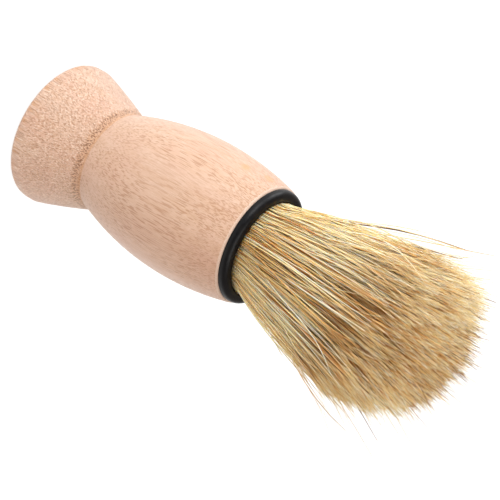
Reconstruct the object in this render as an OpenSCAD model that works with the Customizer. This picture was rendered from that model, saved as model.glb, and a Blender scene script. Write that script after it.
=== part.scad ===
// Neck duster brush: a turned wooden handle with a tuft of natural bristles.
// The brush stands on its foot. The origin is the centre of the foot's flat underside,
// and +Z runs along the brush to the bristle tips. All sizes are in millimetres.

/* [Handle] */
// Height of the wooden handle, from its foot to the end that the ferrule sits on
handle_h = 60; // [57:0.5:64]
// Radius of the foot's rim
foot_r = 17.05; // [16:0.05:18.5]
// Height at which the foot's straight rim ends and its flare begins
rim_h = 2.9; // [2.4:0.1:3.6]
// Radius of the rounding under the foot's rim
foot_edge_r = 1.4; // [0.8:0.1:1.8]
// How far the flare bulges past a straight line between rim and waist
flare_bulge = 0.18; // [0.1:0.02:0.4]
// Radius of the waist, the narrowest place of the handle
waist_r = 12; // [11:0.1:13]
// Radius of the barrel at its widest place
barrel_r = 16.45; // [16:0.05:17.5]
// Height of the barrel's widest place above the foot
barrel_z = 42; // [40:0.5:44]
// Radius of the curve that the barrel follows along the handle
barrel_curve_r = 70; // [64:1:80]
// Width of the small chamfer on the wood beside the ferrule
shoulder = 0.35; // [0.2:0.05:0.5]

/* [Ferrule] */
// Radius of the black bead that shows between wood and bristles
bead_r = 13.74; // [13.3:0.02:13.8]
// Height of the bead above the end of the handle
bead_h = 2.1; // [1.6:0.1:2.6]
// Rounding of the bead's outer edge
bead_round = 1.5; // [0.9:0.1:1.6]
// Rounding of the bead's inner edge, round the mouth
mouth_round = 0.5; // [0.3:0.1:0.6]
// Inside radius of the ferrule's sleeve and mouth
mouth_r = 11.35; // [11:0.05:11.5]
// Outside radius of the sleeve that is glued into the handle
sleeve_r = 12.2; // [12.1:0.05:12.3]
// Length of the sleeve inside the handle
sleeve_h = 15.5; // [14:0.5:18]
// Thickness of the sleeve's closed floor
cup_floor = 1.4; // [1:0.1:2]

/* [Glue, resin and binding] */
// Gap that the adhesive fills between the sleeve and its socket
glue_gap = 0.3; // [0.2:0.05:0.4]
// Thickness of the adhesive under the ferrule
glue_bed = 1; // [0.5:0.1:1.5]
// Height to which the adhesive is squeezed up round the sleeve
glue_rise = 6; // [3:0.5:9]
// Depth of the resin that the bristle ends are set in
resin_h = 5; // [4:0.5:6]
// Thickness of the resin under the bristle ends
resin_floor = 1.2; // [0.8:0.1:1.6]
// Thickness of the binding thread
thread_d = 0.8; // [0.6:0.1:0.9]
// Number of turns of the binding thread
thread_turns = 6; // [4:1:7]

/* [Bristles] */
// Free length of the longest bristles, from the ferrule's bead to the tip
free_length = 47.5; // [44:0.5:54]
// Radius of the spread tuft where its domed end begins
tuft_r = 19.5; // [18:0.5:21]
// Height of the tuft's domed end
dome_h = 11.5; // [9:0.5:15]
// Radius of the bundle inside the ferrule
bundle_r = 10.6; // [10.2:0.1:10.7]

/* [Flexing] */
// Height of the place where the bristles bend, above the bead
flex_rise = 4; // [3.5:0.5:5]
// Height of the free tuft's lower edge above the place where it bends
skirt_rise = 2; // [1.5:0.5:3]
// Clearance between the held and the free stretch of the bristles
flex_gap = 0.35; // [0.3:0.05:0.5]

/* [Hidden] */
$fn = 96;
curve_fn = 360;
// Keeps cuts clear of the faces that they run past
past = 1;
// Share of the thread's thickness from one turn to the next, so that the turns merge
thread_pitch = 0.85;
// Space between the resin and the first turn of the thread
thread_lift = 0.6;
// Space between the thread and the bundle that it binds
thread_play = 0.05;
// Space between the bundle and the mouth of the ferrule
mouth_play = 0.3;

barrel_curve_x = barrel_r - barrel_curve_r;
waist_z = barrel_z - sqrt(pow(barrel_curve_r, 2) - pow(waist_r - barrel_curve_x, 2));
flare_chord = norm([foot_r - waist_r, waist_z - rim_h]);
flare_curve_r = pow(flare_chord, 2) / (8 * flare_bulge) + flare_bulge / 2;
flare_mid = [(foot_r + waist_r) / 2, (rim_h + waist_z) / 2];
flare_inward = [rim_h - waist_z, waist_r - foot_r] / flare_chord;
flare_centre = flare_mid + (flare_curve_r - flare_bulge) * flare_inward;
end_r = barrel_curve_x + sqrt(pow(barrel_curve_r, 2) - pow(handle_h - barrel_z, 2));

socket_r = sleeve_r + glue_gap;
cup_z = handle_h - sleeve_h;
socket_z = cup_z - glue_bed;
cup_floor_z = cup_z + cup_floor;
resin_top_z = cup_floor_z + resin_h;
bundle_z = cup_floor_z + resin_floor;
thread_z = resin_top_z + thread_lift + thread_d / 2;
thread_top_z = thread_z + (thread_turns - 1) * thread_d * thread_pitch + thread_d / 2;
bound_r = bundle_r - thread_d / 2 - thread_play;

bead_z = handle_h + bead_h;
tip_z = bead_z + free_length;
dome_z = tip_z - dome_h;
dome_curve_r = (pow(tuft_r, 2) + pow(dome_h, 2)) / (2 * dome_h);
flex_z = bead_z + flex_rise;
skirt_z = flex_z + skirt_rise;
mouth_bundle_r = mouth_r - mouth_play;
fan_slope = (tuft_r - mouth_r) / (dome_z - bead_z);
skirt_r = mouth_r + fan_slope * (skirt_z - bead_z);
hollow_r = norm([skirt_r - flex_gap, skirt_rise]);
held_dome_r = hollow_r - flex_gap;

// What is cut off an upper outer corner to round it: its arc has the radius r about [x, z]
module corner_cut(x, z, r) {
    translate([x, z])
        difference() {
            square(r + past);
            circle(r);
        }
}

// Outline of the foot: flat below, rounded at the rim, and flared in to the waist
module foot_outline() {
    difference() {
        intersection() {
            square([foot_r, waist_z]);
            union() {
                square([foot_r, rim_h]);
                translate(flare_centre) circle(flare_curve_r, $fn = curve_fn);
            }
        }
        mirror([0, 1]) corner_cut(foot_r - foot_edge_r, -foot_edge_r, foot_edge_r);
    }
}

// Outline of the barrel: one long curve from the waist to the end
module barrel_outline() {
    intersection() {
        translate([0, waist_z]) square([barrel_r, handle_h - waist_z]);
        translate([barrel_curve_x, barrel_z]) circle(barrel_curve_r, $fn = curve_fn);
        polygon([[0, 0], [barrel_r + handle_h, 0], [end_r - shoulder, handle_h],
                 [0, handle_h]]);
    }
}

module handle() {
    color("#e9bd9f")
        difference() {
            rotate_extrude() {
                foot_outline();
                barrel_outline();
            }
            translate([0, 0, socket_z]) cylinder(r = socket_r, h = handle_h);
        }
}

// Adhesive under the ferrule's sleeve, squeezed a little way up round it
module adhesive_bed() {
    color("#d8c58a")
        difference() {
            translate([0, 0, socket_z]) cylinder(r = socket_r, h = glue_bed + glue_rise);
            translate([0, 0, cup_z]) cylinder(r = sleeve_r, h = glue_rise + past);
        }
}

// Cup with a closed floor, and a rounded bead that sits on the end of the handle
module ferrule() {
    color("#231f1f")
        difference() {
            rotate_extrude() {
                translate([0, cup_z]) square([sleeve_r, sleeve_h + past]);
                difference() {
                    translate([0, handle_h]) square([bead_r, bead_h]);
                    corner_cut(bead_r - bead_round, bead_z - bead_round, bead_round);
                }
            }
            rotate_extrude() {
                translate([0, cup_floor_z]) square([mouth_r, sleeve_h + bead_h]);
                difference() {
                    translate([0, bead_z - mouth_round])
                        square([mouth_r + mouth_round, mouth_round + past]);
                    translate([mouth_r + mouth_round, bead_z - mouth_round])
                        circle(mouth_round);
                }
            }
        }
}

// Resin cast into the cup round the ends of the bristles
module resin_plug() {
    color("#b98a45")
        difference() {
            translate([0, 0, cup_floor_z]) cylinder(r = mouth_r, h = resin_h);
            translate([0, 0, bundle_z]) cylinder(r = bundle_r, h = resin_h);
        }
}

// Thread wound round the bundle above the resin, as touching turns
module binding_thread() {
    color("#e8e2d0")
        for (turn = [0 : thread_turns - 1])
            translate([0, 0, thread_z + turn * thread_d * thread_pitch])
                rotate_extrude()
                    translate([bundle_r, 0]) circle(d = thread_d, $fn = 32);
}

// Held stretch of the bristles: set in the resin, bound, and fanning out of the ferrule
module bristle_root() {
    color("#a98a5c")
        intersection() {
            rotate_extrude()
                polygon([[0, bundle_z], [bundle_r, bundle_z], [bundle_r, resin_top_z],
                         [bound_r, resin_top_z + thread_lift], [bound_r, thread_top_z],
                         [mouth_bundle_r, bead_z], [held_dome_r, flex_z],
                         [held_dome_r, skirt_z + hollow_r], [0, skirt_z + hollow_r]]);
            union() {
                translate([0, 0, flex_z]) sphere(held_dome_r);
                cylinder(r = mouth_r, h = bead_z);
            }
        }
}

// Free stretch of the bristles: a widening fan with a domed end, hollow where it bends
module bristle_tuft() {
    color("#c7a775")
        difference() {
            union() {
                translate([0, 0, skirt_z])
                    cylinder(r1 = skirt_r, r2 = tuft_r, h = dome_z - skirt_z);
                intersection() {
                    translate([0, 0, tip_z - dome_curve_r]) sphere(dome_curve_r);
                    translate([0, 0, dome_z]) cylinder(r = tuft_r + past, h = dome_h + past);
                }
            }
            translate([0, 0, flex_z]) sphere(hollow_r);
        }
}

handle();
adhesive_bed();
ferrule();
resin_plug();
binding_thread();
bristle_root();
bristle_tuft();
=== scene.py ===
import math
from collections import namedtuple

import bpy
import numpy as np
from mathutils import Matrix, Vector, noise
from mathutils.kdtree import KDTree


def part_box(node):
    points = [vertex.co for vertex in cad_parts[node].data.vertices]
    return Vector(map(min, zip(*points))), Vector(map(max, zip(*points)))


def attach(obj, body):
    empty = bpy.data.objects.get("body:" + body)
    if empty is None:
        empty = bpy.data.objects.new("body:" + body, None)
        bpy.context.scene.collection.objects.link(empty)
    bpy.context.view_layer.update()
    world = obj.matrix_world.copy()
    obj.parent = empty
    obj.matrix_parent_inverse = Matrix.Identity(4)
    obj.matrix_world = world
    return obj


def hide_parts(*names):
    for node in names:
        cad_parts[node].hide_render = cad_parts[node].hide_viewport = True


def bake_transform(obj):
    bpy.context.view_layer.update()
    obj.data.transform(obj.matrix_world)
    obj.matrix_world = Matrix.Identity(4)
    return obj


# Neck duster brush. It stands on its foot, with +Z along the brush to the bristle tips.
# Everything is in metres. MM turns millimetres into metres, and colours are linear RGB.
MM = 0.001

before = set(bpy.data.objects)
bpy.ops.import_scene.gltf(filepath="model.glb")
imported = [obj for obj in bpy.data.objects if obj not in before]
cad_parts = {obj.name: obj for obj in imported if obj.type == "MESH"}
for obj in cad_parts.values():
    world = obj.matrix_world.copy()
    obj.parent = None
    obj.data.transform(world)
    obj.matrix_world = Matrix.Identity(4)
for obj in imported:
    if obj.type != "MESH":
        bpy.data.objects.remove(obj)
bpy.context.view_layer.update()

HANDLE_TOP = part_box("handle")[1].z
FOOT_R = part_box("handle")[1].x
FERRULE_LOW, FERRULE_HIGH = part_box("ferrule")
BEAD_R, BEAD_TOP = FERRULE_HIGH.x, FERRULE_HIGH.z
SLEEVE_R, SLEEVE_BOTTOM = 12.2 * MM, FERRULE_LOW.z
SOCKET_R, SOCKET_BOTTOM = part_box("adhesive_bed")[1].x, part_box("adhesive_bed")[0].z
MOUTH_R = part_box("resin_plug")[1].x
TIP_Z, TUFT_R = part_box("bristle_tuft")[1].z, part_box("bristle_tuft")[1].x

# Handle outline, on the CAD model's sizes
FOOT_EDGE_R = 1.4 * MM
RIM_H = 2.9 * MM
FLARE_BULGE = 0.18 * MM
WAIST_R = 12.0 * MM
BARREL_R, BARREL_Z, BARREL_CURVE_R = 16.45 * MM, 42.0 * MM, 70.0 * MM
SHOULDER = 0.35 * MM
WAIST_Z = BARREL_Z - math.sqrt(BARREL_CURVE_R ** 2 - (BARREL_CURVE_R - BARREL_R + WAIST_R) ** 2)

# Ferrule section: the cup's floor, its roundings, and the small chamfer under the bead
CUP_FLOOR = 1.4 * MM
BEAD_ROUND, MOUTH_ROUND, SLEEVE_ROUND = 1.5 * MM, 0.5 * MM, 0.4 * MM
BEAD_CHAMFER = 0.15 * MM

# Binding thread: its radius, its turns, and how far it keeps inside the CAD model's turns
THREAD_R, THREAD_TURNS, THREAD_INSET = 0.36 * MM, 5, 0.04 * MM

# Camera, at the angle from which the brush is seen
CAMERA_LENS_MM = 144.0
CAMERA_DISTANCE = 437.7 * MM
CAMERA_ELEVATION = math.radians(27.81)
CAMERA_ROLL = math.radians(120.15)
CAMERA_AIM = Vector((1.79, 0.0, 58.68)) * MM


# ---------------------------------------------------------------- node helpers

def new_material(name):
    """A new material with nodes, its node tree and its Principled shader."""
    material = bpy.data.materials.new(name)
    material.use_nodes = True
    tree = material.node_tree
    shader = next(n for n in tree.nodes if n.type == "BSDF_PRINCIPLED")
    return material, tree, shader


def add_node(tree, kind, **settings):
    node = tree.nodes.new(kind)
    for name, value in settings.items():
        setattr(node, name, value)
    return node


def feed(tree, node, socket, value):
    """Puts a link or a plain value on a socket."""
    if isinstance(value, bpy.types.NodeSocket):
        tree.links.new(value, node.inputs[socket])
    else:
        node.inputs[socket].default_value = value


def scaled(tree, coordinates, scale):
    node = add_node(tree, "ShaderNodeMapping")
    feed(tree, node, "Vector", coordinates)
    node.inputs["Scale"].default_value = scale
    return node.outputs["Vector"]


def noise_field(tree, vector, scale=1.0, detail=2.0, roughness=0.5, distortion=0.0):
    node = add_node(tree, "ShaderNodeTexNoise")
    feed(tree, node, "Vector", vector)
    feed(tree, node, "Scale", scale)
    feed(tree, node, "Detail", detail)
    feed(tree, node, "Roughness", roughness)
    feed(tree, node, "Distortion", distortion)
    return node.outputs["Fac"]


def cell_distance(tree, vector, scale=1.0):
    node = add_node(tree, "ShaderNodeTexVoronoi")
    feed(tree, node, "Vector", vector)
    feed(tree, node, "Scale", scale)
    return node.outputs["Distance"]


def span(tree, value, low, high, to_low=0.0, to_high=1.0):
    """value taken smoothly from the span low..high to to_low..to_high."""
    node = add_node(tree, "ShaderNodeMapRange", interpolation_type="SMOOTHSTEP")
    for socket, number in zip(("Value", "From Min", "From Max", "To Min", "To Max"),
                              (value, low, high, to_low, to_high)):
        feed(tree, node, socket, number)
    return node.outputs["Result"]


def maths(tree, operation, first, second=0.0):
    node = add_node(tree, "ShaderNodeMath", operation=operation)
    feed(tree, node, 0, first)
    feed(tree, node, 1, second)
    return node.outputs[0]


def product(tree, first, second):
    return maths(tree, "MULTIPLY", first, second)


def between(tree, share, at_0, at_1):
    """A number that is at_0 where share is 0 and at_1 where it is 1."""
    return span(tree, share, 0.0, 1.0, at_0, at_1)


def band(tree, value, middle, inner, outer, strength):
    """strength where value is within inner of middle, fading to 0 at outer from it."""
    away = maths(tree, "ABSOLUTE", maths(tree, "SUBTRACT", value, middle))
    return span(tree, away, inner, outer, strength, 0.0)


def mixed(tree, share, first, second, blend="MIX"):
    """first and second are colours or colour links. The node's colour sockets are 6, 7 and 2."""
    node = add_node(tree, "ShaderNodeMix", data_type="RGBA", blend_type=blend)
    feed(tree, node, 0, share)
    for socket, value in ((6, first), (7, second)):
        feed(tree, node, socket, (*value, 1.0) if isinstance(value, tuple) else value)
    return node.outputs[2]


def bumped(tree, height, strength, distance):
    node = add_node(tree, "ShaderNodeBump")
    feed(tree, node, "Height", height)
    feed(tree, node, "Strength", strength)
    feed(tree, node, "Distance", distance)
    return node.outputs["Normal"]


def object_point(tree):
    return add_node(tree, "ShaderNodeTexCoord").outputs["Object"]


def attribute(tree, name):
    return add_node(tree, "ShaderNodeAttribute", attribute_name=name).outputs["Fac"]


# ---------------------------------------------------------------- mesh helpers

def arc(centre, radius, start, end, steps):
    """Points (r, z) on an arc, from angle start to end in degrees, both ends included."""
    angles = np.radians(np.linspace(start, end, steps + 1))
    return [(centre[0] + radius * math.cos(a), centre[1] + radius * math.sin(a)) for a in angles]


def line(start, end, steps):
    """Points (r, z) on a line, both ends included."""
    return [tuple(p) for p in np.linspace(start, end, steps + 1)]


def joined(*stretches):
    """One outline from stretches that meet end to end."""
    outline = []
    for stretch in stretches:
        for point in stretch:
            if not outline or math.dist(point, outline[-1]) > 1e-6:
                outline.append((float(point[0]), float(point[1])))
    return outline


def turned_points(outline, segments, shift):
    """Points of a turned solid: a ring for each inner point of its outline, then its two poles."""
    verts = []
    for r, z in outline[1:-1]:
        for a in np.linspace(0, 2 * math.pi, segments, endpoint=False):
            point = Vector((r * math.cos(a), r * math.sin(a), z))
            out = shift(point) if shift else 0.0
            verts.append(point + Vector((math.cos(a), math.sin(a), 0)) * out)
    return verts + [Vector((0, 0, outline[0][1])), Vector((0, 0, outline[-1][1]))]


def turned_faces(outline, segments):
    """Faces between those points, and their UV points: U runs round and V along the outline."""
    lengths = [math.dist(p, q) for p, q in zip(outline, outline[1:])]
    along = np.concatenate([[0], np.cumsum(lengths)]) / sum(lengths)
    steps = [(s, (s + 1) % segments, s / segments, (s + 1) / segments) for s in range(segments)]
    rings = len(outline) - 2
    faces, uvs = [], []
    for ring in range(rings - 1):
        low, high = ring * segments, (ring + 1) * segments
        v_low, v_high = along[ring + 1], along[ring + 2]
        for s, after, u, w in steps:
            faces.append((low + s, low + after, high + after, high + s))
            uvs.extend([(u, v_low), (w, v_low), (w, v_high), (u, v_high)])
    last = (rings - 1) * segments
    for s, after, u, w in steps:
        faces.append((after, s, rings * segments))
        uvs.extend([(w, along[1]), (u, along[1]), ((u + w) / 2, 0.0)])
    for s, after, u, w in steps:
        faces.append((last + s, last + after, rings * segments + 1))
        uvs.extend([(u, along[-2]), (w, along[-2]), ((u + w) / 2, 1.0)])
    return faces, uvs


def lathe(name, outline, segments, shift=None):
    """A closed turned solid. The outline (r, z) starts and ends on the axis. shift(point) is how
    far a point of its surface is moved outward."""
    faces, uvs = turned_faces(outline, segments)
    mesh = bpy.data.meshes.new(name)
    mesh.from_pydata(turned_points(outline, segments, shift), [], faces)
    mesh.uv_layers.new(name="OFBake").data.foreach_set("uv", np.array(uvs, np.float32).ravel())
    mesh.polygons.foreach_set("use_smooth", [True] * len(faces))
    mesh.update()
    piece = bpy.data.objects.new(name, mesh)
    bpy.context.scene.collection.objects.link(piece)
    return piece


# ---------------------------------------------------------------- handle

def handle_outline():
    """From the middle of the foot's underside, up the outside and down into the socket.
    The last number of each stretch is its count of steps."""
    foot_corner = FOOT_R - FOOT_EDGE_R
    centre_x = BARREL_R - BARREL_CURVE_R
    chord = Vector((WAIST_R - FOOT_R, WAIST_Z - RIM_H))
    flare_r = chord.length ** 2 / (8 * FLARE_BULGE) + FLARE_BULGE / 2
    middle = Vector((FOOT_R + WAIST_R, RIM_H + WAIST_Z)) / 2
    inward = Vector((-chord.y, chord.x)).normalized()
    flare_centre = middle + inward * (flare_r - FLARE_BULGE)

    def angle_about(centre, point):
        return math.degrees(math.atan2(point[1] - centre[1], point[0] - centre[0]))

    end_z = HANDLE_TOP - SHOULDER
    end_r = centre_x + math.sqrt(BARREL_CURVE_R ** 2 - (end_z - BARREL_Z) ** 2)
    barrel_centre = (centre_x, BARREL_Z)
    return joined(
        line((0, 0), (foot_corner, 0), 12),
        arc((foot_corner, FOOT_EDGE_R), FOOT_EDGE_R, -90, 0, 10),
        line((FOOT_R, FOOT_EDGE_R), (FOOT_R, RIM_H), 4),
        arc(flare_centre, flare_r, angle_about(flare_centre, (FOOT_R, RIM_H)),
            angle_about(flare_centre, (WAIST_R, WAIST_Z)), 48),
        arc(barrel_centre, BARREL_CURVE_R, angle_about(barrel_centre, (WAIST_R, WAIST_Z)),
            angle_about(barrel_centre, (end_r, end_z)), 120),
        line((end_r, end_z), (end_r - SHOULDER, HANDLE_TOP), 2),
        line((end_r - SHOULDER, HANDLE_TOP), (SOCKET_R, HANDLE_TOP), 3),
        line((SOCKET_R, HANDLE_TOP), (SOCKET_R, SOCKET_BOTTOM), 12),
        line((SOCKET_R, SOCKET_BOTTOM), (0, SOCKET_BOTTOM), 6))


# Marks that turning and sanding leave on the wood. Torn grain: its fineness in two sizes, how far
# it is drawn out along the handle, and its height in millimetres. It is strongest where the grain
# is cut across, which is on the flare and, by BARREL_TORN, on the ends of the barrel.
TORN_FINE, TORN_DRAWN, TORN_MM, BARREL_TORN = (1.6, 3.4), 0.12, 0.035, 0.35
# Ripple along the handle: its fineness and its height in millimetres
RIPPLE_FINE, RIPPLE_MM = 0.9, 0.015
# The underside and the socket stay smooth: how far from them the marks begin
SMOOTH_FOOT, SMOOTH_SOCKET = 0.4 * MM, 0.1 * MM


def tool_marks(point):
    """How far the turned and lightly sanded surface stands off its true outline."""
    r = math.hypot(point.x, point.y)
    in_socket = r < SOCKET_R + SMOOTH_SOCKET / 2 and point.z > SOCKET_BOTTOM - SMOOTH_SOCKET
    if in_socket or point.z < SMOOTH_FOOT:
        return 0.0
    across = Vector((point.x, point.y, point.z * TORN_DRAWN)) / MM
    torn = noise.noise(across * TORN_FINE[0]) + 0.5 * noise.noise(across * TORN_FINE[1])
    ripple = noise.noise(Vector((0, 0, point.z / MM * RIPPLE_FINE)))
    slope = BARREL_TORN * abs(point.z - BARREL_Z) / (BARREL_Z - WAIST_Z)
    return (TORN_MM * (1.0 if point.z < WAIST_Z else slope) * torn + RIPPLE_MM * ripple) * MM


# Colours of the wood and of the marks in it, with a painted highlight for its top edge and a
# painted shadow for its bottom edge
WOOD = {
    "pale": (0.65, 0.427, 0.310),
    "pink": (0.62, 0.370, 0.262),
    "streak": (0.59, 0.357, 0.232),
    "amber": (0.62, 0.385, 0.235),
    "torn fibre": (0.85, 0.66, 0.52),
    "pore": (0.34, 0.135, 0.042),
    "crease": (0.18, 0.070, 0.022),
    "stain": (0.58, 0.27, 0.10),
    # Painted highlight for the wood's top edge under the bead
    "painted edge highlight": (0.86, 0.76, 0.66),
    # Painted shadow for the bottom edge of the foot
    "painted base shadow": (0.22, 0.13, 0.09),
    "spot": (0.60, 0.29, 0.10),
}
# Painted shade: the barrel is darker on its +X side, away from the lights: by this factor, in full
# from this X on
PLUS_X_PAINTED_SHADE, PLUS_X_SHADE_FULL_AT = (0.91, 0.85, 0.82), 12.0 * MM
# Two darker spots near the ferrule: the centre and the radius of each, in millimetres
SPOTS = (((-13.3, -8.3, 52.0), 1.6), ((-13.8, -5.6, 57.0), 1.8))


def wood_zones(tree, z):
    """How strongly each place along the handle shows its own look at height z, from 0 to 1."""
    flare = span(tree, z, WAIST_Z - 1.5 * MM, WAIST_Z + 0.8 * MM, 1.0, 0.0)
    near_ferrule = span(tree, z, HANDLE_TOP - 12.0 * MM, HANDLE_TOP - 4.0 * MM, 0.0, 0.75)
    return {
        "flare": flare,
        "cut grain": maths(tree, "MAXIMUM", flare, near_ferrule),
        "crease": band(tree, z, WAIST_Z - 0.9 * MM, 0.3 * MM, 1.5 * MM, 1.0),
        "fold": band(tree, z, WAIST_Z, 0.0, 0.5 * MM, 0.35),
        "rim": span(tree, z, 0.6 * MM, 3.0 * MM, 1.0, 0.0),
        # Painted highlight: a pale band just under the wood's top edge
        "painted edge highlight": span(tree, z, HANDLE_TOP - 0.50 * MM, HANDLE_TOP - 0.30 * MM, 0.0, 0.30),
        # Painted shadow: a dark band along the bottom of the foot's rim
        "underside": span(tree, z, 0.15 * MM, 0.8 * MM, 0.55, 0.0),
    }


def wood_figure(tree, point):
    """Noise at the sizes of what the wood shows, mostly drawn out along the grain."""
    grain = scaled(tree, point, (1 / MM, 1 / MM, 0.1 / MM))
    return {
        "cloud": noise_field(tree, scaled(tree, point, (110, 110, 60)), detail=3.0),
        "patches": noise_field(tree, scaled(tree, point, (150, 150, 60)), detail=2.0),
        "streak": noise_field(tree, grain, 0.7, 4.0, 0.6, 0.3),
        "fibre": noise_field(tree, grain, 5.5, 1.0, 0.6, 0.1),
        "lines": noise_field(tree, scaled(tree, grain, (1.0, 1.0, 0.6)), 4.4, 0.0),
        "flecks": noise_field(tree, scaled(tree, grain, (1.0, 1.0, 0.5)), 4.7, 1.0),
    }


def clean_wood(tree, figure, flare, busy):
    """The wood's own colour: clouds, streaks, amber in the busy patches, and pale torn fibres."""
    colour = mixed(tree, span(tree, figure["cloud"], 0.35, 0.68), WOOD["pale"], WOOD["pink"])
    streak = span(tree, figure["streak"], 0.42, 0.66, 0.0, 0.7)
    colour = mixed(tree, streak, colour, WOOD["streak"])
    amber = product(tree, busy, between(tree, flare, 0.30, 0.0))
    colour = mixed(tree, amber, colour, WOOD["amber"])
    torn = product(tree, span(tree, figure["fibre"], 0.46, 0.36), between(tree, flare, 0.15, 0.68))
    return mixed(tree, torn, colour, WOOD["torn fibre"])


def dark_marks(tree, figure, zone, busy):
    """Share of dark marks: fine lines in the busy patches, and pores where the grain is cut."""
    on_flare = between(tree, zone["flare"], 0.50, 0.15)
    lines = product(tree, span(tree, figure["lines"], 0.54, 0.64), on_flare)
    on_cut = between(tree, zone["cut grain"], 0.10, 0.56)
    pores = product(tree, span(tree, figure["flecks"], 0.54, 0.64), on_cut)
    return maths(tree, "MAXIMUM", product(tree, lines, busy), pores)


def waist_rim_and_painted_edges(tree, colour, figure, zone):
    """colour with the dark line at the waist, the stained rim, a painted highlight along the top
    edge and a painted shadow along the foot's bottom edge.
    """
    colour = mixed(tree, product(tree, zone["crease"], 0.30), colour, WOOD["stain"])
    flecked = product(tree, zone["crease"], span(tree, figure["flecks"], 0.50, 0.58, 0.0, 0.80))
    colour = mixed(tree, flecked, colour, WOOD["crease"])
    colour = mixed(tree, zone["fold"], colour, WOOD["stain"])
    rim = product(tree, zone["rim"], span(tree, figure["streak"], 0.44, 0.60, 0.05, 0.60))
    colour = mixed(tree, rim, colour, WOOD["stain"])
    # Painted highlight along the wood's top edge
    colour = mixed(tree, zone["painted edge highlight"], colour, WOOD["painted edge highlight"])
    # Painted shadow along the bottom edge of the foot
    return mixed(tree, zone["underside"], colour, WOOD["painted base shadow"])


def spotted_wood(tree, colour, point):
    for centre, radius in SPOTS:
        away = add_node(tree, "ShaderNodeVectorMath", operation="DISTANCE")
        feed(tree, away, 0, point)
        away.inputs[1].default_value = Vector(centre) * MM
        share = span(tree, away.outputs["Value"], 0.3 * radius * MM, radius * MM, 0.60, 0.0)
        colour = mixed(tree, share, colour, WOOD["spot"])
    return colour


def wood_material():
    material, tree, shader = new_material("pale_turned_wood")
    point = object_point(tree)
    axes = add_node(tree, "ShaderNodeSeparateXYZ")
    feed(tree, axes, "Vector", point)
    zone, figure = wood_zones(tree, axes.outputs["Z"]), wood_figure(tree, point)
    flare = zone["flare"]
    busy = maths(tree, "MAXIMUM", flare, span(tree, figure["patches"], 0.30, 0.62, 0.35, 1.0))
    marks = dark_marks(tree, figure, zone, busy)

    colour = mixed(tree, marks, clean_wood(tree, figure, flare, busy), WOOD["pore"])
    # Painted shade on the barrel's +X side, the side away from the lights, none on the flare
    plus_x = span(tree, axes.outputs["X"], 0.0, PLUS_X_SHADE_FULL_AT)
    plus_x_painted_shade = product(tree, plus_x, between(tree, flare, 1.0, 0.0))
    colour = mixed(tree, plus_x_painted_shade, colour, PLUS_X_PAINTED_SHADE, "MULTIPLY")
    colour = spotted_wood(tree, waist_rim_and_painted_edges(tree, colour, figure, zone), point)
    feed(tree, shader, "Base Color", colour)

    rough = maths(tree, "ADD", between(tree, flare, 0.58, 0.75), product(tree, marks, 0.2))
    feed(tree, shader, "Roughness", rough)
    shader.inputs["Specular IOR Level"].default_value = 0.5
    shader.inputs["Sheen Weight"].default_value = 0.42
    shader.inputs["Sheen Roughness"].default_value = 0.5
    relief = maths(tree, "SUBTRACT", product(tree, figure["fibre"], -0.8), marks)
    feed(tree, shader, "Normal", bumped(tree, relief, between(tree, flare, 0.5, 1.0), 0.13 * MM))
    return material


def make_handle():
    piece = lathe("turned_handle", handle_outline(), segments=256, shift=tool_marks)
    piece.data.materials.append(wood_material())
    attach(piece, "brush")
    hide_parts("handle")


# ---------------------------------------------------------------- ferrule

def ferrule_outline():
    """The cup's section, from the middle of its underside up the outside and down to its floor.
    The last number of each stretch is its count of steps."""
    low, floor_z = SLEEVE_BOTTOM, SLEEVE_BOTTOM + CUP_FLOOR
    under_r, rounded_z = SLEEVE_R - SLEEVE_ROUND, low + SLEEVE_ROUND
    chamfer_r, chamfer_z = BEAD_R - BEAD_CHAMFER, HANDLE_TOP + BEAD_CHAMFER
    bead_r, bead_z = BEAD_R - BEAD_ROUND, BEAD_TOP - BEAD_ROUND
    mouth_r, mouth_z = MOUTH_R + MOUTH_ROUND, BEAD_TOP - MOUTH_ROUND
    return joined(
        line((0, low), (under_r, low), 4),
        arc((under_r, rounded_z), SLEEVE_ROUND, -90, 0, 4),
        line((SLEEVE_R, rounded_z), (SLEEVE_R, HANDLE_TOP), 6),
        line((SLEEVE_R, HANDLE_TOP), (chamfer_r, HANDLE_TOP), 3),
        line((chamfer_r, HANDLE_TOP), (BEAD_R, chamfer_z), 2),
        line((BEAD_R, chamfer_z), (BEAD_R, bead_z), 3),
        arc((bead_r, bead_z), BEAD_ROUND, 0, 90, 14),
        line((bead_r, BEAD_TOP), (mouth_r, BEAD_TOP), 3),
        arc((mouth_r, mouth_z), MOUTH_ROUND, 90, 180, 6),
        line((MOUTH_R, mouth_z), (MOUTH_R, floor_z), 10),
        line((MOUTH_R, floor_z), (0, floor_z), 4))


def black_plastic():
    material, tree, shader = new_material("black_moulded_plastic")
    point = object_point(tree)
    cloud = noise_field(tree, scaled(tree, point, (260, 260, 260)), 1.0, 4.0)
    scuff = noise_field(tree, scaled(tree, point, (2600, 2600, 700)), 1.0, 3.0, 0.7, 0.6)
    colour = mixed(tree, span(tree, cloud, 0.35, 0.7), (0.003, 0.003, 0.004), (0.008, 0.007, 0.007))
    colour = mixed(tree, span(tree, scuff, 0.60, 0.80, 0.0, 0.30), colour, (0.032, 0.030, 0.030))
    feed(tree, shader, "Base Color", colour)
    feed(tree, shader, "Roughness", span(tree, scuff, 0.35, 0.75, 0.32, 0.50))
    feed(tree, shader, "Normal", bumped(tree, scuff, 0.18, 0.05 * MM))
    shader.inputs["Specular IOR Level"].default_value = 0.16
    return material


def make_ferrule():
    piece = lathe("ferrule_cup", ferrule_outline(), segments=192)
    piece.data.materials.append(black_plastic())
    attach(piece, "brush")
    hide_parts("ferrule")


# ---------------------------------------------------------------- hidden inner pieces

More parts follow.
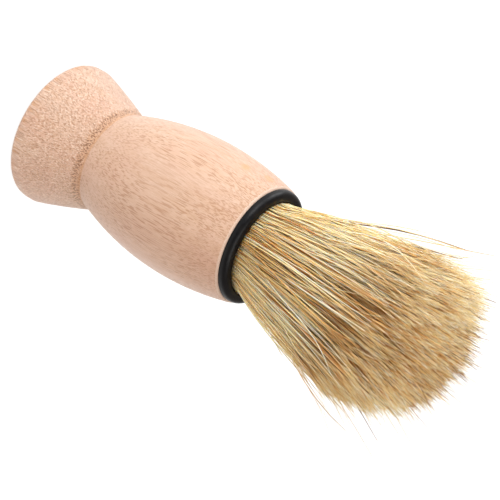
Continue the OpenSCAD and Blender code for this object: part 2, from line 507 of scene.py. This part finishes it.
def cast_material(name, dark, light, roughness):
    """Glue or resin: cloudy, with small bubbles."""
    material, tree, shader = new_material(name)
    point = object_point(tree)
    cloud = noise_field(tree, scaled(tree, point, (400, 400, 400)), 1.0, 3.0)
    bubbles = span(tree, cell_distance(tree, point, 900.0), 0.12, 0.22, 1.0, 0.0)
    colour = mixed(tree, span(tree, cloud, 0.3, 0.7), dark, light)
    colour = mixed(tree, product(tree, bubbles, 0.4), colour, light)
    feed(tree, shader, "Base Color", colour)
    feed(tree, shader, "Roughness", span(tree, cloud, 0.3, 0.7, roughness, roughness + 0.15))
    feed(tree, shader, "Normal", bumped(tree, bubbles, 0.3, 0.1 * MM))
    return material


def thread_material():
    material, tree, shader = new_material("waxed_thread")
    point = object_point(tree)
    lay = add_node(tree, "ShaderNodeTexWave", wave_profile="SAW", bands_direction="DIAGONAL")
    feed(tree, lay, "Vector", point)
    feed(tree, lay, "Scale", 900.0)
    feed(tree, lay, "Distortion", 1.5)
    twist = lay.outputs["Fac"]
    feed(tree, shader, "Base Color", mixed(tree, twist, (0.55, 0.48, 0.36), (0.82, 0.77, 0.65)))
    feed(tree, shader, "Roughness", span(tree, twist, 0.0, 1.0, 0.9, 0.7))
    feed(tree, shader, "Normal", bumped(tree, twist, 0.5, 0.08 * MM))
    return material


def make_thread():
    """The binding thread, wound as one helix in the place of the CAD model's closed turns."""
    low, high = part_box("binding_thread")
    per_turn, sides = 64, 8
    rings = THREAD_TURNS * per_turn + 1
    t = np.linspace(0, 1, rings)
    angle = 2 * math.pi * THREAD_TURNS * t
    middle_r = high.x - THREAD_R - THREAD_INSET
    centre_z = low.z + THREAD_R + (high.z - low.z - 2 * THREAD_R) * t
    around = np.linspace(0, 2 * math.pi, sides, endpoint=False)
    r = middle_r + THREAD_R * np.cos(around)[None, :]
    z = centre_z[:, None] + THREAD_R * np.sin(around)[None, :]
    verts = np.stack([r * np.cos(angle)[:, None], r * np.sin(angle)[:, None], z], -1).reshape(-1, 3)
    piece = tube_mesh("wound_thread", verts, rings, sides, 1)
    piece.data.materials.append(thread_material())
    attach(piece, "brush")
    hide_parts("binding_thread")


def dress_inner_nodes():
    finishes = {
        "adhesive_bed": cast_material("set_glue", (0.50, 0.38, 0.16), (0.72, 0.60, 0.32), 0.45),
        "resin_plug": cast_material("cast_resin", (0.30, 0.13, 0.03), (0.52, 0.28, 0.08), 0.2),
    }
    for name, material in finishes.items():
        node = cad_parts[name]
        node.data.materials.clear()
        node.data.materials.append(material)


# ---------------------------------------------------------------- tubes

# Share of its cell in the UV map that is left free on each side of a tube
CELL_MARGIN = 0.12


def tube_grid(rings, sides):
    """Ring and side number of each four-cornered face of a tube."""
    ring, side = np.meshgrid(np.arange(rings - 1), np.arange(sides), indexing="ij")
    return ring.ravel(), side.ravel()


def tube_faces(rings, sides, count):
    """Points of the faces of count capped tubes, in one row for each tube, and each face's size."""
    ring, side = tube_grid(rings, sides)
    after = (side + 1) % sides
    quads = np.stack([ring * sides + side, ring * sides + after,
                      (ring + 1) * sides + after, (ring + 1) * sides + side], -1)
    caps = np.stack([np.arange(sides)[::-1], (rings - 1) * sides + np.arange(sides)])
    one_tube = np.concatenate([quads.ravel(), caps.ravel()])
    loops = one_tube[None] + np.arange(count)[:, None] * rings * sides
    sizes = np.concatenate([np.full(len(quads), 4), np.full(len(caps), sides)])
    return loops, np.tile(sizes, count)


def tube_uv(rings, sides, count):
    """UV points of the same faces. Each tube has a cell of the map, in which V runs along it."""
    ring, side = tube_grid(rings, sides)
    share = np.linspace(0, 1, rings)
    low, high, left, right = share[ring], share[ring + 1], side / sides, (side + 1) / sides
    corners = (left, low), (right, low), (right, high), (left, high)
    quads = np.stack([np.stack(corner, -1) for corner in corners], 1).reshape(-1, 2)
    caps = np.array([[s / sides, end] for end in (0.0, 1.0) for s in range(sides)])
    columns = max(1, math.ceil(math.sqrt(count * 3)))
    rows = math.ceil(count / columns)
    cell = np.stack([np.arange(count) % columns, np.arange(count) // columns], -1)
    in_cell = CELL_MARGIN + (1 - 2 * CELL_MARGIN) * np.concatenate([quads, caps])
    return (cell[:, None, :] + in_cell[None]) / (columns, rows)


def tube_mesh(name, verts, rings, sides, count, marks=None):
    """count closed tubes in one mesh, each of rings x sides points in verts, capped at both ends.
    marks holds named lists with one number for each tube, which the materials read, beside
    "along", which runs from 0 to 1 along each tube."""
    loops, face_sizes = tube_faces(rings, sides, count)
    starts = np.concatenate([[0], np.cumsum(face_sizes)[:-1]])
    mesh = bpy.data.meshes.new(name)
    mesh.vertices.add(len(verts))
    mesh.vertices.foreach_set("co", verts.astype(np.float32).ravel())
    mesh.loops.add(loops.size)
    mesh.loops.foreach_set("vertex_index", loops.astype(np.int32).ravel())
    mesh.polygons.add(len(face_sizes))
    mesh.polygons.foreach_set("loop_start", starts.astype(np.int32))
    mesh.polygons.foreach_set("use_smooth", np.ones(len(face_sizes), bool))
    mesh.update(calc_edges=True)
    uv = tube_uv(rings, sides, count).astype(np.float32)
    mesh.uv_layers.new(name="OFBake").data.foreach_set("uv", uv.ravel())
    numbers = {mark: np.repeat(values, rings * sides) for mark, values in (marks or {}).items()}
    numbers["along"] = np.tile(np.repeat(np.linspace(0, 1, rings), sides), count)
    for mark, values in numbers.items():
        layer = mesh.attributes.new(mark, "FLOAT", "POINT")
        layer.data.foreach_set("value", values.astype(np.float32))
    mesh.validate()
    piece = bpy.data.objects.new(name, mesh)
    bpy.context.scene.collection.objects.link(piece)
    return piece


# ---------------------------------------------------------------- bristles

# A kind of bristle. share: its part of the bundle. gather: how much more of it, or less of it if
# below 0, there is toward -X and +X, where pale kinds paint the key light onto the lit -X side
# and lift the shaded +X side. radius: its root's, in MM.
# wildness: how strongly single bristles leave their lock. stand: how far in MM its tips stand
# out of the rest. root, middle and tip: its colours along its length.
Kind = namedtuple("Kind", "share gather radius wildness stand root middle tip")
BRISTLES = {
    "bristles_ivory": Kind(0.16, 1.6, 0.090, 1.2, 0.0,
                           (0.94, 0.72, 0.44), (0.99, 0.81, 0.56), (0.94, 0.67, 0.39)),
    "bristles_cream": Kind(0.25, 0.9, 0.092, 1.0, 0.0,
                           (0.90, 0.60, 0.30), (0.99, 0.76, 0.48), (0.82, 0.50, 0.23)),
    "bristles_straw": Kind(0.215, 0.1, 0.095, 1.0, 0.0,
                           (0.78, 0.46, 0.18), (0.99, 0.68, 0.35), (0.73, 0.39, 0.145)),
    "bristles_tan": Kind(0.12, -1.1, 0.095, 1.0, 0.5,
                         (0.61, 0.35, 0.14), (0.89, 0.51, 0.195), (0.62, 0.29, 0.095)),
    "bristles_amber": Kind(0.065, -1.0, 0.100, 1.1, 1.2,
                           (0.43, 0.20, 0.07), (0.60, 0.24, 0.06), (0.40, 0.15, 0.042)),
    "bristles_dark": Kind(0.07, -0.3, 0.112, 1.4, 2.0,
                          (0.17, 0.072, 0.026), (0.13, 0.045, 0.014), (0.10, 0.036, 0.012)),
    "bristles_white": Kind(0.12, 1.3, 0.085, 1.9, 0.3,
                           (0.97, 0.80, 0.53), (0.99, 0.89, 0.67), (0.95, 0.80, 0.53)),
}
# How strongly the kinds gather toward -X, painting light onto the lit side, and toward +X, lifting
# the shaded side with painted light, and how much the locks' mixes differ
MINUS_X_PAINTED_LIGHT, PLUS_X_PAINTED_LIGHT, LOCK_VARIETY = 1.4, 1.6, 0.6
BRISTLE_COUNT, SEED = 12500, 11
# Points along each strand's centre line and round it, and its narrowing: along all of it, and
# more just before the tip
RINGS, SIDES = 10, 3
TAPER, TIP_TAPER = 0.15, 0.50
# The bristles draw together into locks, and toward their tips into finer wisps. How far they do
# so is drawn for each lock and each wisp from these limits, as a share of the way to its middle.
LOCKS, WISPS = 190, 900
LOCK_PULL, WISP_PULL = (0.10, 0.50), (0.15, 0.60)
# Unevenness of the places of locks and wisps, and how far round itself a bristle looks for its
# own lock and wisp, so that their edges mix: all as shares of the bundle's radius
LOCK_UNEVEN, WISP_UNEVEN, LOCK_MIX, WISP_MIX = 0.03, 0.015, 0.04, 0.02
# How much the locks differ in lean, per metre of height, and in length
LOCK_LEAN, LOCK_LENGTH = 0.015, 0.4 * MM
# Angle from each place to the next one when places are spread evenly over a disc, and the turn
# from each strand's section to the next one's
GOLDEN_ANGLE = math.pi * (3 - math.sqrt(5))
STRAND_TURN = 2.4
ROOT_Z = BEAD_TOP - 3.0 * MM
FREE_LENGTH = TIP_Z - BEAD_TOP
BUNDLE_R = MOUTH_R - 0.3 * MM
# Widening of the bundle, per metre of height
FAN = 0.212
# Sideways lean toward +X: per metre of height, and its growth per square metre
LEAN, LEAN_GROWTH = 0.050, 0.6
# Heights at which the outermost and the middle bristles end, and the slope of the domed end
# between them, which is higher on the -X side
EDGE_Z, APEX_Z = TIP_Z - 10.5 * MM, TIP_Z + 2.1 * MM
DOME_TILT = 0.16
# How much shorter still the bristles at the +X edge are, and those at the -X edge as a share of it
EDGE_FALL, MINUS_X_FALL = 4.5 * MM, 0.6
# Tips end below the dome by about TIP_SCATTER. Some bristles are shorter, by a factor within
# SHORT, and a few are longer, by up to LONG.
TIP_SCATTER = 1.3 * MM
SHORT_SHARE, SHORT = 0.24, (0.60, 0.97)
LONG_SHARE, LONG = 0.02, 2.0 * MM
# How single bristles wander, as standard deviations: tilt per metre of height, bow, wave and
# curled tip. A wave has WAVE_TURNS half turns. The unruly bristles wander UNRULY times as much.
TILT, BOW, WAVE, CURL = 0.012, 0.30 * MM, 0.14 * MM, 0.85 * MM
WAVE_TURNS = 2.4
UNRULY_SHARE, UNRULY = 0.12, 3.0
# Bristles on the outside, from this share of the radius on, that run across the others: how many
# do, how far round the bundle they swing in radians, and how far they are lifted as a factor
OUTSIDE, STRAY_SHARE, STRAY_SWING, STRAY_LIFT = 0.93, 0.11, 0.14, (0.005, 0.03)
# Bristles beyond SPRUNG_X of the radius that have sprung away toward +X: how many, and how far
SPRUNG_X, SPRUNG_SHARE, SPRUNG = 0.75, 0.035, (1.0 * MM, 4.5 * MM)
# Colour factor for the bristles inside the bundle, for the shade in its gaps. It fades out over
# EDGE_BLEND of the radius at OPEN_EDGE.
GAP_SHADE = (0.76, 0.72 * 0.76, 0.45 * 0.76)
OPEN_EDGE, EDGE_BLEND = 0.92, 0.08
# How much thicker the coarse bristles are: those beyond COARSE_EDGE of the radius, over the same
# blend, and a share of the others. Each bristle's radius varies by a factor within VARIETY.
COARSER, COARSE_EDGE, COARSE_SHARE, VARIETY = 0.42, 0.86, 0.15, (0.75, 1.2)
# How much of a bristle's tone is its own. The rest is its lock's.
OWN_TONE = 0.6
# Fine hairs that the ends of the bristles split into: number, radius, length, sideways spread,
# and their colours at the root, in the middle and at the tip
FLAG_COUNT, FLAG_R = 1600, 0.05 * MM
FLAG_LENGTH, FLAG_SPREAD = (4.5 * MM, 8.0 * MM), 0.9 * MM
FLAG_COLOURS = (0.76, 0.48, 0.20), (0.84, 0.60, 0.30), (0.94, 0.78, 0.50)


def smooth(t):
    """0 up to t = 0, 1 from t = 1 on, and a smooth rise between them."""
    t = np.clip(t, 0, 1)
    return t * t * (3 - 2 * t)


def fan_radius(z):
    """Outer radius of the bundle at height z: straight in the ferrule, then widening."""
    return BUNDLE_R + FAN * np.maximum(z - BEAD_TOP, 0)


def dome_height(place):
    """Height of the domed end over places given as shares of the bundle's radius."""
    x = place[:, 0]
    share = np.clip(np.hypot(x, place[:, 1]), 0, 1)
    # The lower the power, the less full the dome, which is so toward +X
    power = 2.05 - 0.35 * x
    dome = EDGE_Z + (APEX_Z - EDGE_Z) * (1 - share ** power) ** (1 / power)
    # Beyond half of the radius toward +X, and three quarters of it toward -X
    fall = smooth((x - 0.5) / 0.4) + MINUS_X_FALL * smooth((-x - 0.75) / 0.2)
    return dome - DOME_TILT * x * TUFT_R - EDGE_FALL * fall


def scattered(rng, count, jitter):
    """Places spread evenly over the bundle's section, as shares of its radius."""
    k = np.arange(count)
    r = np.sqrt((k + 0.5) / count) + rng.normal(0, jitter, count)
    a = k * GOLDEN_ANGLE + rng.normal(0, 4 * jitter, count)
    return np.stack([r * np.cos(a), r * np.sin(a)], -1)


def nearest(places, centres):
    tree = KDTree(len(centres))
    for index, (x, y) in enumerate(centres):
        tree.insert((x, y, 0), index)
    tree.balance()
    return np.array([tree.find((x, y, 0))[1] for x, y in places])


def tip_heights(rng, place, lock_length):
    """Where the bristles end: near the dome, with some shorter and a few longer."""
    count = len(place)
    tip_z = dome_height(place) + lock_length - np.abs(rng.normal(0, TIP_SCATTER, count))
    short = rng.random(count) < SHORT_SHARE
    tip_z = np.where(short, BEAD_TOP + (tip_z - BEAD_TOP) * rng.uniform(*SHORT, count), tip_z)
    return tip_z + np.where(rng.random(count) < LONG_SHARE, rng.uniform(0, LONG, count), 0)


def bristle_paths(rng, count):
    """Centre lines of the bristles, as an array (count, RINGS, 3), with each one's free height
    at each point, its lock, its place in the bundle, and the locks' places."""
    lock_place = scattered(rng, LOCKS, LOCK_UNEVEN)
    lock_lean = rng.normal(0, LOCK_LEAN, (LOCKS, 2))
    lock_length = rng.normal(0, LOCK_LENGTH, LOCKS)
    lock_pull = rng.uniform(*LOCK_PULL, LOCKS)
    wisp_place = scattered(rng, WISPS, WISP_UNEVEN)
    wisp_pull = rng.uniform(*WISP_PULL, WISPS)

    share = np.sqrt(rng.random(count))
    angle = rng.random(count) * 2 * math.pi
    start = np.stack([share * np.cos(angle), share * np.sin(angle)], -1)
    lock = nearest(start + rng.normal(0, LOCK_MIX, (count, 2)), lock_place)
    wisp = nearest(start + rng.normal(0, WISP_MIX, (count, 2)), wisp_place)

    tip_z = tip_heights(rng, start, lock_length[lock])
    z = ROOT_Z + (tip_z - ROOT_Z)[:, None] * np.linspace(0, 1, RINGS)
    free = np.maximum(z - BEAD_TOP, 0)
    grow = smooth(free / FREE_LENGTH)[..., None]
    to_lock = (lock_place[lock] - start) * lock_pull[lock][:, None]
    to_wisp = (wisp_place[wisp] - start) * wisp_pull[wisp][:, None]
    place = start[:, None] + to_lock[:, None] * grow + to_wisp[:, None] * grow ** 2
    xy = place * fan_radius(z)[..., None]
    xy = xy + lock_lean[lock][:, None] * free[..., None] * grow ** 0.5
    xy[..., 0] += LEAN * free + LEAN_GROWTH * free ** 2
    return np.concatenate([xy, z[..., None]], -1), free, lock, start, lock_place


def choose_kinds(rng, lock, lock_place):
    """A kind for each bristle. Each lock has its own mix, so that some are darker than others."""
    shares = np.array([kind.share for kind in BRISTLES.values()])
    gather = np.array([kind.gather for kind in BRISTLES.values()])
    x = lock_place[:, :1]
    # Painted light: rises from the middle of the tuft toward -X, the lit side, and from a third of
    # the radius toward +X, the shaded side
    side = MINUS_X_PAINTED_LIGHT * smooth(-x * 1.2) + PLUS_X_PAINTED_LIGHT * smooth(x * 2.5 - 0.8)
    mix = shares * np.exp(rng.normal(0, LOCK_VARIETY, (LOCKS, len(shares))) + side * gather)
    steps = np.cumsum(mix / mix.sum(1, keepdims=True), 1)
    return (rng.random(len(lock))[:, None] > steps[lock]).sum(1)


def wander(rng, paths, free, wildness):
    """Single bristles lean, bow, wave a little, and curl at the tip."""
    count = len(paths)
    reach = free / FREE_LENGTH
    half_turn = math.pi * np.clip(reach, 0, 1)
    unruly = np.where(rng.random(count) < UNRULY_SHARE, UNRULY, 1.0)[:, None] * wildness
    for size, course in ((TILT, free), (BOW, np.sin(half_turn)),
                         (WAVE, np.sin(WAVE_TURNS * half_turn)), (CURL, reach ** 3)):
        offset = rng.normal(0, size, (count, 2)) * unruly
        paths[..., :2] += offset[:, None] * course[..., None]
    return paths


def stray(rng, paths, free, place, wildness):
    """A few bristles on the outside run across the others, and fewer have sprung away."""
    count = len(paths)
    reach = free / FREE_LENGTH
    outside = np.hypot(place[:, 0], place[:, 1]) > OUTSIDE
    crossing = outside & (rng.random(count) < STRAY_SHARE * wildness)
    swing = np.where(crossing, rng.normal(0, STRAY_SWING, count), 0)[:, None]
    swing = swing * free / fan_radius(paths[..., 2])
    lift = np.where(crossing, rng.uniform(*STRAY_LIFT, count), 0)[:, None]
    lift = 1 + lift * np.minimum(reach * 4, 1)
    x, y = paths[..., 0] * lift, paths[..., 1] * lift
    paths[..., 0] = x * np.cos(swing) - y * np.sin(swing)
    paths[..., 1] = x * np.sin(swing) + y * np.cos(swing)

    sprung = (place[:, 0] > SPRUNG_X) & (rng.random(count) < SPRUNG_SHARE * wildness)
    away = np.where(sprung, rng.uniform(*SPRUNG, count), 0)[:, None]
    paths[..., 0] += away * reach ** 2
    return paths


def strands(paths, root_r):
    """Tapering tubes round the centre lines, as one array of points."""
    t = np.linspace(0, 1, RINGS)
    radius = root_r[:, None] * (1 - TAPER * t[None] ** 2 - TIP_TAPER * t[None] ** 10)
    around = np.linspace(0, 2 * math.pi, SIDES, endpoint=False)[None]
    spin = around + np.arange(len(paths))[:, None] * STRAND_TURN
    circle = np.stack([np.cos(spin), np.sin(spin), np.zeros_like(spin)], -1)
    points = paths[:, :, None, :] + circle[:, None] * radius[..., None, None]
    return points.reshape(-1, 3)


def bristle_material(name, root, middle, tip):
    """Reads the strands' numbers: along, tone (0 is dull, 1 clear) and the share of painted shade
    for the bundle's gaps (1 inside the bundle).
    """
    material, tree, shader = new_material(name)
    tone, along, inner = (attribute(tree, mark) for mark in ("tone", "along", "inner"))
    colour = mixed(tree, span(tree, along, 0.15, 0.62), root, middle)
    colour = mixed(tree, span(tree, along, 0.6, 1.0), colour, tip)
    dull = mixed(tree, span(tree, along, 0.60, 0.95), (0.92, 0.78, 0.61), (0.54, 0.43, 0.30))
    darker = mixed(tree, 1.0, colour, dull, "MULTIPLY")
    colour = mixed(tree, between(tree, tone, 0.0, 1.0), darker, colour)
    mottle = noise_field(tree, scaled(tree, object_point(tree), (900, 900, 160)), detail=2.0)
    colour = mixed(tree, span(tree, mottle, 0.55, 0.8, 0.0, 0.20), colour, root)
    below_tip = span(tree, along, 0.74, 0.98, 1.0, 0.0)
    # Painted shade: the bristles inside the bundle are darkened for the shade in its gaps, less
    # near the tips
    colour = mixed(tree, product(tree, inner, below_tip), colour, GAP_SHADE, "MULTIPLY")
    feed(tree, shader, "Base Color", colour)
    feed(tree, shader, "Roughness", span(tree, mottle, 0.3, 0.7, 0.36, 0.5))
    shader.inputs["Specular IOR Level"].default_value = 0.2
    shader.inputs["Specular Tint"].default_value = (1.0, 0.80, 0.55, 1.0)
    shader.inputs["Subsurface Weight"].default_value = 1.0
    shader.inputs["Subsurface Radius"].default_value = (1.0, 0.8, 0.5)
    shader.inputs["Subsurface Scale"].default_value = 0.3 * MM
    return material


def add_bristles(name, lines, root_r, tone, inner, colours):
    """One piece of strands."""
    marks = {"tone": tone, "inner": inner}
    piece = tube_mesh(name, strands(lines, root_r), RINGS, SIDES, len(lines), marks)
    piece.data.materials.append(bristle_material(name, *colours))
    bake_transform(piece)
    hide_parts("bristle_root", "bristle_tuft")


def gap_shade(place):
    """Share of the shade in the bundle's gaps: none on the outside, and less toward -X and +X."""
    x = place[:, 0]
    crowded = 1 - 0.75 * smooth((-x - 0.2) / 0.6) - 0.5 * smooth((x - 0.5) / 0.4)
    return smooth((OPEN_EDGE - np.hypot(x, place[:, 1])) / EDGE_BLEND) * crowded


def split_tips(rng, lines):
    """Centre lines of the fine hairs that the ends of the bristles split into."""
    lines = lines[rng.choice(len(lines), FLAG_COUNT, replace=False)]
    start = lines[:, -2]
    ahead = lines[:, -1] - lines[:, -3]
    ahead /= np.linalg.norm(ahead, axis=1, keepdims=True)
    reach = rng.uniform(*FLAG_LENGTH, FLAG_COUNT)[:, None, None]
    side = rng.normal(0, FLAG_SPREAD, (FLAG_COUNT, 1, 3))
    t = np.linspace(0, 1, RINGS)[None, :, None]
    return start[:, None] + ahead[:, None] * reach * t + side * t ** 1.6


def make_bristles():
    rng = np.random.default_rng(SEED)
    paths, free, lock, place, lock_place = bristle_paths(rng, BRISTLE_COUNT)
    kinds = choose_kinds(rng, lock, lock_place)
    lock_tone = rng.random(LOCKS)
    # Painted shade for the bristles inside the bundle, less toward -X and +X
    inner = gap_shade(place)
    outside = smooth((np.hypot(place[:, 0], place[:, 1]) - COARSE_EDGE) / EDGE_BLEND)
    coarse = np.maximum(outside, rng.random(BRISTLE_COUNT) < COARSE_SHARE)
    for index, (name, kind) in enumerate(BRISTLES.items()):
        own = np.flatnonzero(kinds == index)
        lines = wander(rng, paths[own], free[own], kind.wildness)
        lines = stray(rng, lines, free[own], place[own], kind.wildness)
        lines[..., 2] += kind.stand * MM * (free[own] / FREE_LENGTH) ** 2
        paths[own] = lines
        root_r = kind.radius * MM * rng.uniform(*VARIETY, len(own)) * (1 + COARSER * coarse[own])
        tone = OWN_TONE * rng.random(len(own)) + (1 - OWN_TONE) * lock_tone[lock[own]]
        colours = kind.root, kind.middle, kind.tip
        add_bristles(name, lines, root_r, tone, inner[own], colours)
    add_bristles("bristle_split_tips", split_tips(rng, paths), np.full(FLAG_COUNT, FLAG_R),
                 rng.random(FLAG_COUNT), np.zeros(FLAG_COUNT), FLAG_COLOURS)


# ---------------------------------------------------------------- studio

# Half the floor's width, and the radius of the dome behind everything
STUDIO_REACH = 3.0
# Square softboxes: place, width, watts and colour. All of them point at LIGHT_AIM.
LIGHT_AIM = (0, 0, 0.06)
SOFTBOXES = {
    "key_light": ((-0.70, -0.52, 0.26), 0.5, 5.7, (0.94, 0.97, 1.0)),
    "rim_light": ((-0.85, 0.20, 0.18), 0.5, 4.9, (0.94, 0.97, 1.0)),
    "top_light": ((0.20, -0.18, 0.95), 0.8, 7.5, (1.0, 0.99, 0.97)),
}
WORLD_COLOUR, WORLD_STRENGTH = (1.0, 0.90, 0.81, 1.0), 0.38


def glowing(name, colour, glow):
    """A pale matt studio surface with a soft glow of its own, so that its shadows stay light."""
    material, tree, shader = new_material(name)
    shade = noise_field(tree, scaled(tree, object_point(tree), (30, 30, 30)), detail=2.0)
    feed(tree, shader, "Base Color", mixed(tree, shade, tuple(0.95 * c for c in colour), colour))
    shader.inputs["Roughness"].default_value = 0.9
    shader.inputs["Specular IOR Level"].default_value = 0.0
    shader.inputs["Emission Color"].default_value = (1.0, 1.0, 1.0, 1.0)
    shader.inputs["Emission Strength"].default_value = glow
    return material


def make_floor():
    half = STUDIO_REACH
    mesh = bpy.data.meshes.new("studio_floor")
    mesh.from_pydata([(-half, -half, 0), (half, -half, 0), (half, half, 0), (-half, half, 0)], [],
                     [(0, 1, 2, 3)])
    floor = bpy.data.objects.new("studio_floor", mesh)
    bpy.context.scene.collection.objects.link(floor)
    mesh.materials.append(glowing("pale_floor", (0.30, 0.30, 0.30), 0.84))


def make_backdrop():
    """A white dome far behind everything. Only the camera sees it, so it lights nothing."""
    bpy.ops.mesh.primitive_uv_sphere_add(segments=48, ring_count=24, radius=STUDIO_REACH)
    dome = bpy.context.object
    dome.name = "studio_backdrop"
    dome.visible_diffuse = dome.visible_glossy = dome.visible_shadow = False
    dome.visible_transmission = False
    dome.data.materials.append(glowing("white_backdrop", (0.1, 0.1, 0.1), 1.1))


def make_softbox(name, place, width, watts, colour):
    light = bpy.data.lights.new(name, "AREA")
    light.shape = "SQUARE"
    light.size = width
    light.energy = watts
    light.color = colour
    lamp = bpy.data.objects.new(name, light)
    lamp.location = place
    lamp.rotation_mode = "QUATERNION"
    lamp.rotation_quaternion = (Vector(LIGHT_AIM) - Vector(place)).to_track_quat("-Z", "Y")
    lamp.visible_camera = False
    bpy.context.scene.collection.objects.link(lamp)


def make_lights():
    world = bpy.data.worlds.new("studio")
    world.use_nodes = True
    background = world.node_tree.nodes["Background"]
    background.inputs["Color"].default_value = WORLD_COLOUR
    background.inputs["Strength"].default_value = WORLD_STRENGTH
    bpy.context.scene.world = world
    for name, settings in SOFTBOXES.items():
        make_softbox(name, *settings)
    bpy.context.scene.view_settings.view_transform = "Standard"


def make_camera():
    forward = Vector((0, math.cos(CAMERA_ELEVATION), -math.sin(CAMERA_ELEVATION)))
    right = Vector((1, 0, 0))
    up = right.cross(forward)
    rolled_right = math.cos(CAMERA_ROLL) * right + math.sin(CAMERA_ROLL) * up
    rolled_up = math.cos(CAMERA_ROLL) * up - math.sin(CAMERA_ROLL) * right
    data = bpy.data.cameras.new("camera")
    data.lens = CAMERA_LENS_MM
    data.sensor_width = 36.0
    data.clip_start = 0.01
    camera = bpy.data.objects.new("camera", data)
    turned = Matrix((rolled_right, rolled_up, -forward)).transposed().to_4x4()
    place = CAMERA_AIM - forward * CAMERA_DISTANCE
    camera.matrix_world = Matrix.Translation(place) @ turned
    bpy.context.scene.collection.objects.link(camera)
    bpy.context.scene.camera = camera


make_camera()
make_lights()
make_floor()
make_backdrop()
make_handle()
make_ferrule()
make_thread()
dress_inner_nodes()
make_bristles()
